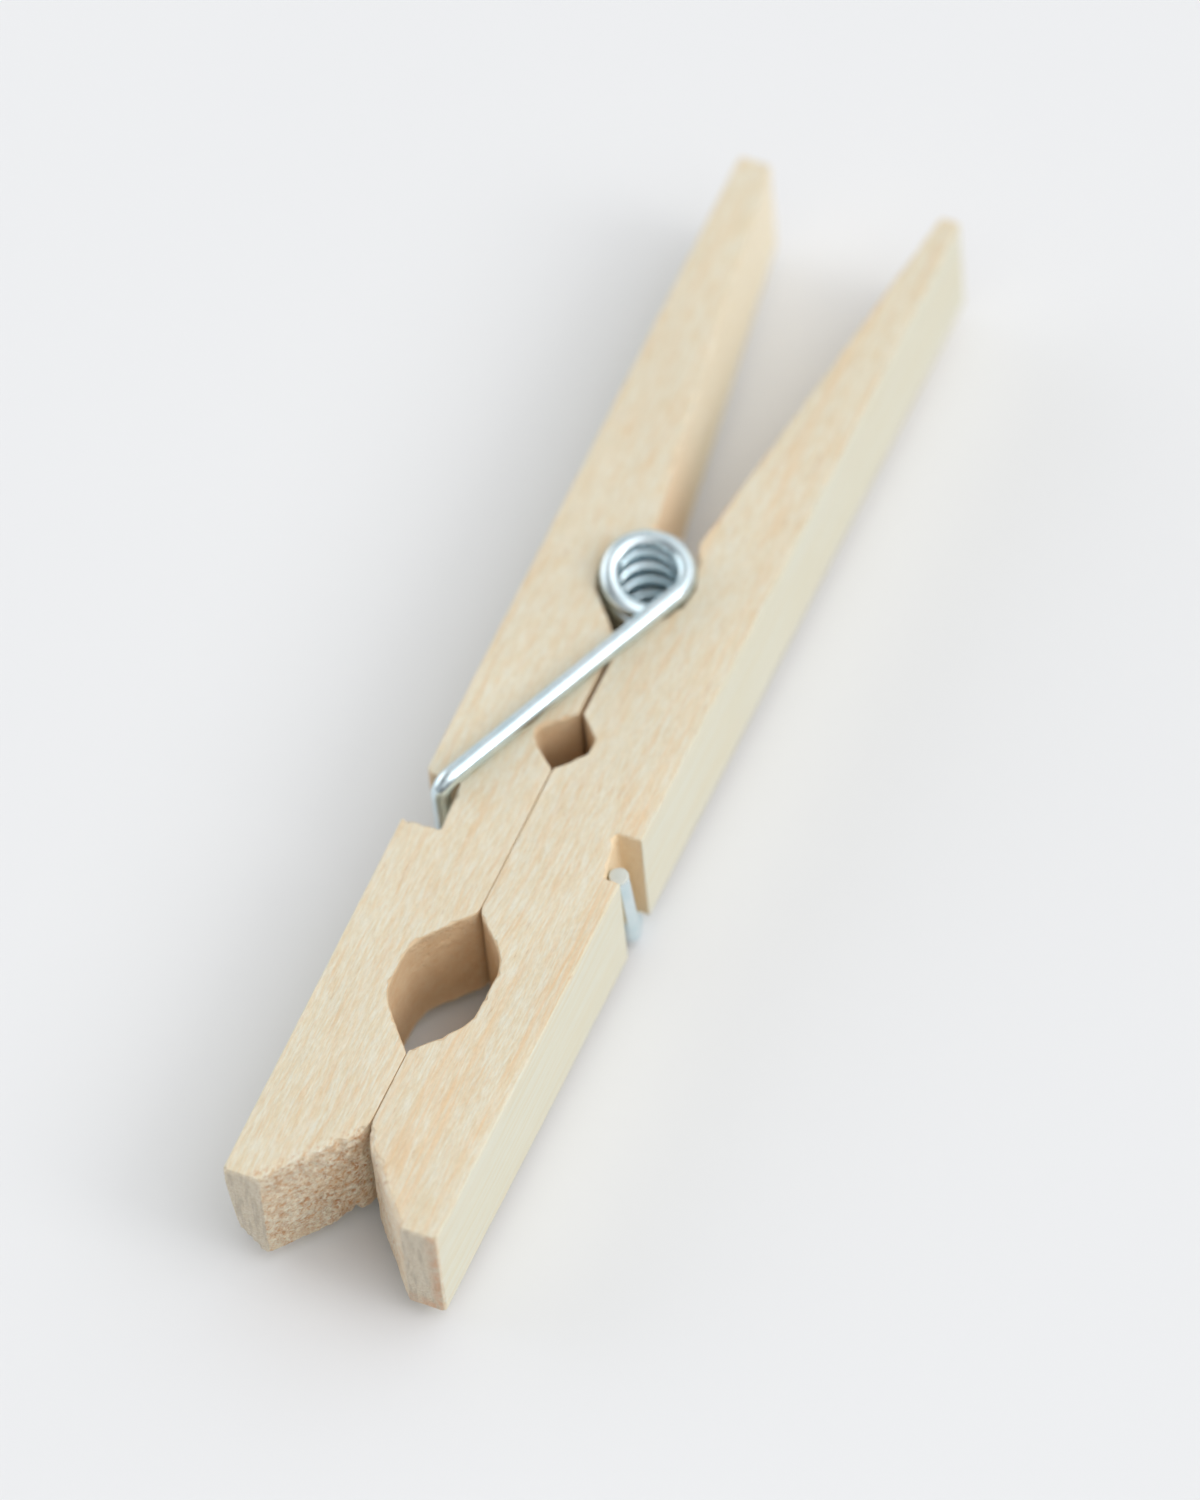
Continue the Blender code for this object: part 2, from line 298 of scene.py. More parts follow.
def fine_outline(leg):
    """The outline's points, close enough together to carry milling marks."""
    raw = np.array([(p.x, p.y) for p in rounded(stick_corners(leg))])
    keep = [0]
    for i in range(1, len(raw)):
        if np.linalg.norm(raw[i] - raw[keep[-1]]) > 0.012:
            keep.append(i)
    raw = raw[keep]
    nxt = np.roll(raw, -1, axis=0)
    mid = (raw + nxt) / 2
    milled, _, _, _ = zones(leg, mid)
    u = mid[:, 1] + COIL_FROM_FRONT
    gap = np.where(milled > 0.5, 0.16, 0.34)
    gap = np.where((milled > 0.5) & (u > 48), 0.26, gap)
    gap = np.where((u < 6) & (milled > 0.5), 0.13, gap)
    out = []
    for a, b, g in zip(raw, nxt, gap):
        count = max(1, int(round(np.linalg.norm(b - a) / g)))
        for k in range(count):
            out.append(a + (b - a) * k / count)
    out = np.array(out)
    # the jaw planes stand a hair apart here, as close as the real ones
    u = out[:, 1] + COIL_FROM_FRONT
    near = step(out[:, 0] - INNER, 0.75, 0.05) * (u > 4.9) * (u < SEAT_FRONT + 0.2)
    out[:, 0] -= near * (0.012 * step(u, 4.9, 6.0) + 0.024 * step(u, 6, 10) + 0.062 * step(u, 10, 27) - 0.080 * step(u, 31.0, 34.2))
    return out


def worn_corner(row, z):
    """The left leg's front end has its lower outer corner knocked off."""
    low = np.clip((1 - z / HALF) / 2, 0, 1)
    wide = 0.70 * low + 1.05 * step(low, 0.70, 1.02) + 1e-3
    long = 1.35 * wide + 0.15 * low
    u = row[:, 1] + COIL_FROM_FRONT
    away = outer(0) - row[:, 0]
    share = np.clip(away, 0, 99) / wide + np.clip(u, 0, 99) / long
    push = np.clip(1 - share, 0, 1) * (low > 0.01)
    out = row.copy()
    out[:, 0] -= push * wide * 0.5
    out[:, 1] += push * long * 0.5
    return out


def relaxed(loop, tangent):
    """The loop with any little fold in it smoothed out, where it was cut back
    by more than a tight corner has room for."""
    loop = loop.copy()
    for _ in range(200):
        ahead = np.roll(loop, -1, axis=0) - loop
        size = np.linalg.norm(ahead, axis=1)
        folded = (ahead * tangent).sum(1) < 0.18 * size + 0.0015
        if not folded.any():
            break
        near = folded | np.roll(folded, 1) | np.roll(folded, 2) | np.roll(folded, -1)
        middle = (np.roll(loop, 1, axis=0) + np.roll(loop, -1, axis=0)) / 2
        loop = np.where(near[:, None], loop * 0.4 + middle * 0.6, loop)
    return loop


def inside(points, ring):
    """Even-odd test, and distance to the ring."""
    a, b = ring, np.roll(ring, -1, axis=0)
    hit = np.zeros(len(points), bool)
    near = np.full(len(points), 1e9)
    for start in range(0, len(points), 3000):
        p = points[start : start + 3000]
        px, py = p[:, 0:1], p[:, 1:2]
        cross = (a[None, :, 1] > py) != (b[None, :, 1] > py)
        at = (b[:, 0] - a[:, 0]) * (py - a[:, 1]) / np.where(
            b[:, 1] == a[:, 1], 1e-12, b[:, 1] - a[:, 1]
        ) + a[:, 0]
        hit[start : start + 3000] = (np.sum(cross & (px < at), axis=1) % 2) == 1
        d = b - a
        t = np.clip(
            ((px - a[:, 0]) * d[:, 0] + (py - a[:, 1]) * d[:, 1])
            / np.maximum((d**2).sum(1), 1e-12),
            0, 1,
        )
        near[start : start + 3000] = np.sqrt(
            (px - a[:, 0] - t * d[:, 0]) ** 2 + (py - a[:, 1] - t * d[:, 1]) ** 2
        ).min(1)
    return hit, near


def broad_lift(x, y, seed):
    """How far the planed broad face stands off its plane: raised grain, in mm."""
    p = np.stack([x * 1.6, y * 0.16, np.full_like(x, seed * 3.1)], 1)
    q = np.stack([x * 0.35, y * 0.06, np.full_like(x, seed * 5.7)], 1)
    return 0.010 * fbm(p, seed, 3) + 0.016 * noise(q, seed + 5)


LOOSE = []


def make_stick(name, leg, seed):
    """One leg: walls swept up the outline, broken edges, and two planed faces."""
    side = leg["side"]
    ring = fine_outline(leg)
    n = len(ring)
    tangent = np.roll(ring, -1, axis=0) - np.roll(ring, 1, axis=0)
    tangent /= np.linalg.norm(tangent, axis=1)[:, None]
    normal = np.stack([tangent[:, 1], -tangent[:, 0]], 1)
    seg = np.linalg.norm(np.roll(ring, -1, axis=0) - ring, axis=1)
    arc = np.concatenate([[0], np.cumsum(seg)[:-1]])
    milled, end, face, deep = zones(leg, ring)
    milled_s, deep_s = smooth_ring(milled, 3), smooth_ring(deep, 3)
    seam = (
        (ring[:, 0] < INNER + 0.12)
        & (ring[:, 1] > LEAD_LENGTH + 0.6 - COIL_FROM_FRONT)
        & (ring[:, 1] < SEAT_FRONT - COIL_FROM_FRONT)
    )
    # the seam faces take the hollows' warm tint too: painted warm bounce light in the narrow gap between the legs
    deep_s = np.maximum(deep_s, smooth_ring(seam * 0.85, 2))
    seam_s = smooth_ring(seam.astype(float), 4)
    u = ring[:, 1] + COIL_FROM_FRONT
    endness = np.abs(normal[:, 1])

    # how sharply the outline turns outwards limits the broken edge
    ahead = np.roll(tangent, -3, axis=0)
    behind = np.roll(tangent, 3, axis=0)
    bend = np.arctan2(
        behind[:, 0] * ahead[:, 1] - behind[:, 1] * ahead[:, 0],
        (behind * ahead).sum(1),
    )
    span = np.roll(arc, -3) - np.roll(arc, 3)
    span = np.where(span <= 0, span + arc[-1] + seg[-1], span)
    curve = np.maximum(bend / np.maximum(span, 1e-6), 0)
    room = np.where(curve > 1e-3, 0.75 / np.maximum(curve, 1e-3), 9.0)
    room = smooth_ring(np.minimum(room, 0.4), 2)

    def edge(level):
        """Width of the broken edge all round, at the top (1) or the bottom (0)."""
        a = np.stack([arc / 2.6, np.full(n, level * 7.7), np.full(n, 0.3)], 1)
        b = np.stack([arc / 0.42, np.full(n, level * 3.1), np.full(n, 0.8)], 1)
        plain = 0.085 + 0.03 * noise(a, seed + 2)
        ragged = (
            np.maximum(0, noise(b, seed + 9) - 0.05) ** 1.3
            * 0.24 * (0.25 + 0.75 * milled_s)
        )
        worn = 0.05 * (end > 0.5)
        lead = (u < 5.2) * milled_s
        if side > 0:
            worn = worn + 0.16 * lead * level
        else:
            fray = noise(np.stack([arc / 0.17, np.full(n, level * 5.3), np.full(n, 1.8)], 1), seed + 4)
            worn = worn + lead * (0.03 + 0.16 * np.maximum(0, fray) ** 1.2)
        wide = np.clip(plain + ragged + worn, 0.035, room)
        return np.where(seam_s > 0.01, wide * (1 - seam_s) + seam_s * (0.022 + 0.25 * ragged), wide)

    top_edge, low_edge = edge(1), edge(0)

    def wall(z):
        """How far the wall is cut back from the outline at height z, in mm.
        z runs from -1 at the bottom broad face to 1 at the top one."""
        z = np.broadcast_to(np.asarray(z, float), (n,))
        zz = z * HALF
        solid = np.stack([ring[:, 0], ring[:, 1], zz], 1)
        fine = fbm(solid * [4.2, 2.4, 4.2], seed + 11, 3, 0.6)
        coarse = noise(solid * [1.5, 0.8, 1.5], seed + 12)
        pits = np.maximum(0, fbm(solid * [2.7, 2.3, 2.4], seed + 13, 2) - 0.16)
        knife = np.abs(np.sin(math.pi * (zz + 0.15 * coarse) / 0.85))
        slope = milled_s * (0.35 + 0.65 * endness)
        near_seam = np.where(u < 6.5, 0.45 + 0.85 * step(ring[:, 0], 4.0, 1.0), 0.25)
        rough = np.where(u < 6.5, 1.0, np.where(u > 47.5, 0.30, 0.62))
        rough = smooth_ring(rough, 8)
        cut = slope * rough * (
            0.034 * fine + 0.030 * coarse + 0.42 * pits * near_seam + 0.010 * (1 - knife)
        )
        if side < 0:
            crumb = fbm(solid * [3.3, 2.8, 3.3], seed + 21, 3, 0.65)
            cut += slope * (u < 5.6) * near_seam * (0.085 * crumb + 0.16 * np.maximum(0, crumb - 0.12))
        planed = (1 - milled_s) * (1 - end)
        cut += planed * (
            0.006 * fbm(solid * [2.5, 0.16, 2.5], seed + 14, 2)
            + 0.010 * noise(solid * [0.3, 0.05, 0.3], seed + 15)
        )
        sawn = end * (0.022 * fbm(solid * [3.8, 1, 3.8], seed + 16, 3) + 0.02)
        cut += sawn
        if side < 0:  # torn away at the lower edge of this leg's lead-in
            low = np.clip((1 - z) / 2, 0, 1)
            tear = bump_at(u, 3.9, 0.55) * (milled > 0.5) * step(low, 0.80, 1.0)
            cut = cut + 0.30 * tear
        if side > 0:  # a step left by the cutter in the small notch's front slope
            slope_on = (u > 29.9) & (u < 31.6) & (ring[:, 0] < 1.6)
            cut = cut - slope_on * 0.10 * bump_at(u, 30.95, 0.20) * step(z, -0.4, 0.6)
        return cut

    torn = milled_s * smooth_ring(np.where(u < 6.5, 1.0, np.where(u > 47.0, 0.12, 0.6)), 8)

    rows, row_z, row_rim = [], [], []
    cut_low, cut_high = wall(-1.0), wall(1.0)
    arcs = [math.radians(a) for a in (90, 67, 45, 22)]
    for a in arcs:  # bottom edge, from the broad face up to the wall
        inset = cut_low + low_edge * (1 - math.cos(a))
        rows.append(ring - normal * inset[:, None])
        row_z.append(-HALF + low_edge * (1 - math.sin(a)))
        row_rim.append(0.9)
    layers = 46
    for k in range(layers + 1):
        t = k / layers
        low, high = -HALF + low_edge, HALF - top_edge
        z = low + (high - low) * t
        rows.append(ring - normal * wall(z / HALF)[:, None])
        row_z.append(z)
        row_rim.append(max(0.0, 1 - min(t, 1 - t) * layers / 3) * 0.6)
    for a in reversed(arcs):
        inset = cut_high + top_edge * (1 - math.cos(a))
        rows.append(ring - normal * inset[:, None])
        row_z.append(HALF - top_edge * (1 - math.sin(a)))
        row_rim.append(0.9)
    zs = np.array([np.broadcast_to(z, (n,)) for z in row_z])
    if side < 0:
        rows = [worn_corner(row, z) for row, z in zip(rows, zs)]
    rows = np.array([relaxed(row, tangent) for row in rows])
    count = len(rows)
    for r, sign in ((0, -1), (count - 1, 1)):
        zs[r] = sign * (HALF + broad_lift(rows[r][:, 0], rows[r][:, 1], seed + sign))

    verts = np.concatenate(
        [rows.reshape(-1, 2), zs.reshape(-1, 1)], axis=1
    )
    rim = np.repeat(np.array(row_rim), n)
    tags = {
        "milled": np.tile(milled_s, count),
        "endness": np.tile(endness * (milled + end > 0.5), count),
        "outer_face": np.tile(smooth_ring(face, 2), count),
        "deep": np.tile(deep_s, count),
        "torn": np.tile(torn, count),
        "rim": rim,
    }
    for r in (0, count - 1):  # the ring that the broad face starts from
        s = slice(r * n, (r + 1) * n)
        for key in ("milled", "endness", "outer_face", "deep", "torn"):
            tags[key][s] *= 0.0
        tags["rim"][s] = 0.75
    index = np.arange(n)
    quads = []
    for r in range(count - 1):
        a = r * n + index
        b = r * n + np.roll(index, -1)
        quads.append(np.stack([a, b, b + n, a + n], 1))
    faces = [tuple(q) for q in np.concatenate(quads)]

    all_verts = [verts]
    extra = {k: [v] for k, v in tags.items()}
    total = len(verts)
    for r, sign in ((0, -1), (count - 1, 1)):
        loop = rows[r]
        gx, gy = 0.36, 0.42
        xs = np.arange(INNER - 0.2, outer(LENGTH) + 0.3, gx)
        ys = np.arange(-COIL_FROM_FRONT, LENGTH - COIL_FROM_FRONT, gy)
        X, Y = np.meshgrid(xs, ys)
        X = X + (np.arange(len(ys)) % 2)[:, None] * gx / 2
        flat = np.stack([X.ravel(), Y.ravel()], 1)
        hit, near = inside(flat, loop)
        flat, near = flat[hit & (near > 0.16)], near[hit & (near > 0.16)]
        ids = list(range(n)) if sign > 0 else list(range(n))
        pts = [Vector(p) for p in loop] + [Vector(p) for p in flat]
        got = delaunay_2d_cdt(pts, [], [ids], 1, 1e-6)
        back = {}
        z_flat = sign * (HALF + broad_lift(flat[:, 0], flat[:, 1], seed + sign))
        base = total
        extra_points = np.concatenate([flat, z_flat[:, None]], axis=1)
        all_verts.append(extra_points)
        for key in extra:
            extra[key].append(
                np.clip(1 - near / 0.5, 0, 1) * 0.6 if key == "rim" else np.zeros(len(flat))
            )
        total += len(flat)
        for k, orig in enumerate(got[3]):
            if orig:
                o = orig[0]
            else:  # a crossing left in the ring: take the nearest ring point
                o = int(np.argmin(((loop - np.array(got[0][k][:2])) ** 2).sum(1)))
                LOOSE.append((name, round(got[0][k][0], 3), round(got[0][k][1], 3)))
            back[k] = r * n + o if o < n else base + o - n
        for tri in got[2]:
            ids3 = [back[i] for i in tri]
            if len(set(ids3)) < 3:
                continue
            a, b, c = (got[0][i] for i in tri)
            up = (b - a).cross(c - a) > 0
            if up != (sign > 0):
                ids3.reverse()
            faces.append(tuple(ids3))
    verts = np.concatenate(all_verts)
    if side < 0:
        verts[:, 0] *= -1
        faces = [tuple(reversed(f)) for f in faces]
    mesh = bpy.data.meshes.new(name)
    mesh.from_pydata((verts * MM).tolist(), [], faces)
    mesh.update()
    for key, chunks in extra.items():
        layer = mesh.attributes.new(key, "FLOAT", "POINT")
        layer.data.foreach_set("value", np.concatenate(chunks).astype(np.float32))
    mesh.shade_smooth()
    made = bpy.data.objects.new(name, mesh)
    bpy.context.scene.collection.objects.link(made)
    made.location = (0, PIVOT.y * MM, MID * MM)
    made.rotation_euler = (0, 0, -side * SPLAY)
    return made


# ====================================================================== the wire
def hook_path(bend, end, side, level, far, centre_y):
    corner = Vector((side * bend[0], bend[1] - COIL_FROM_FRONT + centre_y, level))
    tip = Vector((side * end[0], end[1] - COIL_FROM_FRONT + centre_y, far))
    flat = Vector((0 - corner.x, centre_y - corner.y))
    off = math.asin(COIL_RADIUS / flat.length)
    heading = math.atan2(flat.y, flat.x) + side * off
    along = Vector((math.cos(heading), math.sin(heading), 0))
    length = math.sqrt(flat.length**2 - COIL_RADIUS**2)
    leave = corner + along * length
    down = (tip - corner).normalized()
    turn = math.pi - along.angle(down)
    reach = BEND_RADIUS * math.tan(turn / 2)
    start = corner + down * reach
    middle = corner + (along + down).normalized() * (BEND_RADIUS / math.cos(turn / 2))
    normal = (start - middle).cross(corner + along * reach - middle).normalized()
    points = []
    for k in range(26):
        points.append(tip.lerp(start, k / 26))
    for k in range(37):
        arm = (start - middle).copy()
        arm.rotate(Matrix.Rotation(turn * k / 36, 3, normal))
        points.append(middle + arm)
    last = points[-1].copy()
    for k in range(1, 80):
        points.append(last.lerp(leave, k / 80))
    points.append(leave)
    return points, math.atan2(leave.y - centre_y, leave.x)


def wire_path():
    top = WOOD_HIGH + WIRE_LIFT + WIRE / 2
    low = WOOD_LOW - WIRE_LIFT - WIRE / 2
    upper, first = hook_path(*LEFT_HOOK[:2], -1, top, WOOD_LOW + LEFT_HOOK[2], PIVOT.y)
    lower, last = hook_path(*RIGHT_HOOK[:2], 1, low, WOOD_HIGH - RIGHT_HOOK[2], PIVOT.y)
    sweep = (last - first) % (2 * math.pi) + 2 * math.pi * WHOLE_TURNS
    steps = round(sweep / (2 * math.pi) * 84)
    points = list(upper[:-1])

    def tilt(angle):
        return TURN_TILT[0] * math.cos(angle) + TURN_TILT[1] * math.sin(angle)

    for k in range(steps + 1):
        part = k / steps
        angle = first + sweep * part
        fade = 1 - part * part
        aside = float(step(part, 0.02, 0.14) * (1 - step(part, 0.86, 0.98)))
        sunk = (1 - TURN_OPENING) * part + TURN_OPENING * part * part
        level = top - tilt(first) + (low - top + tilt(first)) * sunk
        points.append(
            Vector(
                (
                    COIL_RADIUS * math.cos(angle) + aside * TURN_SET[0],
                    PIVOT.y + COIL_RADIUS * math.sin(angle) + aside * TURN_SET[1],
                    level + fade * tilt(angle),
                )
            )
        )
    points += list(reversed(lower[:-1]))
    return np.array([list(p) for p in points])


def make_wire(name, seed):
    """The whole spring as one wire: a round section swept along its centre line,
    with sheared ends that have a small chamfer and a raised lip."""
    path = wire_path()
    around = 28
    ahead = np.gradient(path, axis=0)
    ahead /= np.linalg.norm(ahead, axis=1)[:, None]
    kernel = np.array([1, 2, 3, 2, 1]) / 9.0
    smooth = np.stack(
        [np.convolve(np.pad(ahead[:, k], 2, mode="edge"), kernel, "valid") for k in range(3)], 1
    )
    ahead = smooth / np.linalg.norm(smooth, axis=1)[:, None]
    arc = np.concatenate([[0], np.cumsum(np.linalg.norm(np.diff(path, axis=0), axis=1))])
    # a frame carried along the path without twisting
    side = np.cross(ahead[0], [0.3, 0.2, 0.9])
    side /= np.linalg.norm(side)
    frames = []
    for t in ahead:
        side = side - t * np.dot(side, t)
        side /= np.linalg.norm(side)
        frames.append((side.copy(), np.cross(t, side)))
    ang = np.linspace(0, 2 * math.pi, around, endpoint=False)
    verts, v_along, v_around, v_cut = [], [], [], []

    def ring(centre, frame, radius, along, cut, tilt=None):
        a, b = frame
        for k in range(around):
            off = a * math.cos(ang[k]) + b * math.sin(ang[k])
            wobble = 1.0
            if cut > 0:
                wobble = 1 + 0.02 * math.sin(3 * ang[k] + seed) * cut
            p = centre + off * radius * wobble
            if tilt is not None:
                p = p + tilt * (math.cos(ang[k] - 0.7) * radius / (WIRE / 2))
            verts.append(p)
            v_along.append(along)
            v_around.append(ang[k] / (2 * math.pi))
            v_cut.append(cut)

    r = WIRE / 2
    shear = 0.05
    rings = 0
    for s, sign in ((0, -1), (len(path) - 1, 1)):
        pass
    # start cap, from the middle outwards
    t0 = ahead[0]
    verts.append(path[0] - t0 * 0.015)
    v_along.append(0); v_around.append(0); v_cut.append(1)
    for share, back in ((0.35, -0.012), (0.68, 0.004), (0.86, 0.0), (0.955, 0.022), (1.0, 0.075)):
        ring(path[0] + t0 * back, frames[0], r * share, 0, 1 if share < 0.97 else 0.5, t0 * shear * min(1, share))
        rings += 1
    for k in range(len(path)):
        if arc[k] < 0.16 or arc[-1] - arc[k] < 0.16:
            continue
        ring(path[k], frames[k], r, arc[k], 0.0)
        rings += 1
    t1 = ahead[-1]
    for share, back in ((1.0, 0.075), (0.955, 0.022), (0.86, 0.0), (0.68, 0.004), (0.35, -0.012)):
        ring(path[-1] - t1 * back, frames[-1], r * share, arc[-1], 1 if share < 0.97 else 0.5, t1 * shear * min(1, share))
        rings += 1
    verts.append(path[-1] + t1 * 0.015)
    v_along.append(arc[-1]); v_around.append(0); v_cut.append(1)
    faces = []
    for k in range(around):
        faces.append((0, 1 + (k + 1) % around, 1 + k))
    for q in range(rings - 1):
        a = 1 + q * around
        for k in range(around):
            m = (k + 1) % around
            faces.append((a + k, a + m, a + around + m, a + around + k))
    a, tip = 1 + (rings - 1) * around, len(verts) - 1
    for k in range(around):
        faces.append((a + k, a + (k + 1) % around, tip))
    verts = np.array(verts)
    verts[:, 1] -= PIVOT.y
    mesh = bpy.data.meshes.new(name)
    mesh.from_pydata((verts * MM).tolist(), [], faces)
    mesh.update()
    for key, values in (("along", v_along), ("around", v_around), ("cut", v_cut)):
        layer = mesh.attributes.new(key, "FLOAT", "POINT")
        layer.data.foreach_set("value", np.array(values, np.float32))
    mesh.shade_smooth()
    mesh.set_sharp_from_angle(angle=math.radians(38))
    made = bpy.data.objects.new(name, mesh)
    bpy.context.scene.collection.objects.link(made)
    made.location = (0, PIVOT.y * MM, 0)
    return made


# ===================================================================== materials
class Net:
    """Short hand for building a shader's nodes."""

    def __init__(self, name, tree=None):
        self.material = None
        if tree is None:
            self.material = bpy.data.materials.new(name)
            self.material.use_nodes = True
            tree = self.material.node_tree
            tree.nodes.clear()
        self.tree = tree
        self.count = 0

    def node(self, kind, inputs=None, **props):
        made = self.tree.nodes.new(kind)
        self.count += 1
        made.location = (220 * (self.count % 9), -260 * (self.count // 9))
        for key, value in props.items():
            setattr(made, key, value)
        for key, value in (inputs or {}).items():
            self.put(made.inputs[key], value)
        return made

    def put(self, socket, value):
        if isinstance(value, bpy.types.NodeSocket):
            self.tree.links.new(value, socket)
        elif isinstance(value, bpy.types.Node):
            self.tree.links.new(value.outputs[0], socket)
        else:
            socket.default_value = value

    def math(self, op, a, b=0.0, c=0.0, clamp=False):
        made = self.node("ShaderNodeMath", operation=op, use_clamp=clamp)
        self.put(made.inputs[0], a)
        self.put(made.inputs[1], b)
        if len(made.inputs) > 2:
            self.put(made.inputs[2], c)
        return made.outputs[0]

    def scale(self, vector, xyz):
        made = self.node("ShaderNodeVectorMath", operation="MULTIPLY")
        self.put(made.inputs[0], vector)
        self.put(made.inputs[1], xyz)
        return made.outputs[0]

    def shift(self, vector, xyz):
        made = self.node("ShaderNodeVectorMath", operation="ADD")
        self.put(made.inputs[0], vector)
        self.put(made.inputs[1], xyz)
        return made.outputs[0]

    def noise(self, vector, scale=1.0, detail=2.0, rough=0.5, distort=0.0, colour=False):
        made = self.node(
            "ShaderNodeTexNoise",
            {"Vector": vector, "Scale": scale, "Detail": detail, "Roughness": rough, "Distortion": distort},
        )
        return made.outputs[1] if colour else made.outputs[0]

    def cells(self, vector, scale=1.0, feature="F1", out=0, spread=1.0):
        made = self.node(
            "ShaderNodeTexVoronoi", {"Vector": vector, "Scale": scale, "Randomness": spread}, feature=feature
        )
        return made.outputs[out]

    def remap(self, value, a, b, lo=0.0, hi=1.0, smooth=True):
        made = self.node("ShaderNodeMapRange", interpolation_type="SMOOTHSTEP" if smooth else "LINEAR")
        for key, v in zip(("Value", "From Min", "From Max", "To Min", "To Max"), (value, a, b, lo, hi)):
            self.put(made.inputs[key], v)
        return made.outputs[0]

    def mix(self, factor, a, b, blend="MIX"):
        made = self.node("ShaderNodeMix", data_type="RGBA", blend_type=blend)
        self.put(made.inputs[0], factor)
        self.put(made.inputs[6], a)
        self.put(made.inputs[7], b)
        return made.outputs[2]

    def tag(self, name):
        return self.node("ShaderNodeAttribute", attribute_name=name).outputs["Fac"]

    def bump(self, height, distance, strength=1.0, normal=None):
        made = self.node("ShaderNodeBump", {"Height": height, "Distance": distance, "Strength": strength})
        if normal is not None:
            self.put(made.inputs["Normal"], normal)
        return made.outputs[0]


def edge_noise(net, p):
    return net.noise(net.scale(p, (1.4, 1.0, 1.1)), 1.0, 3.0, 0.6)


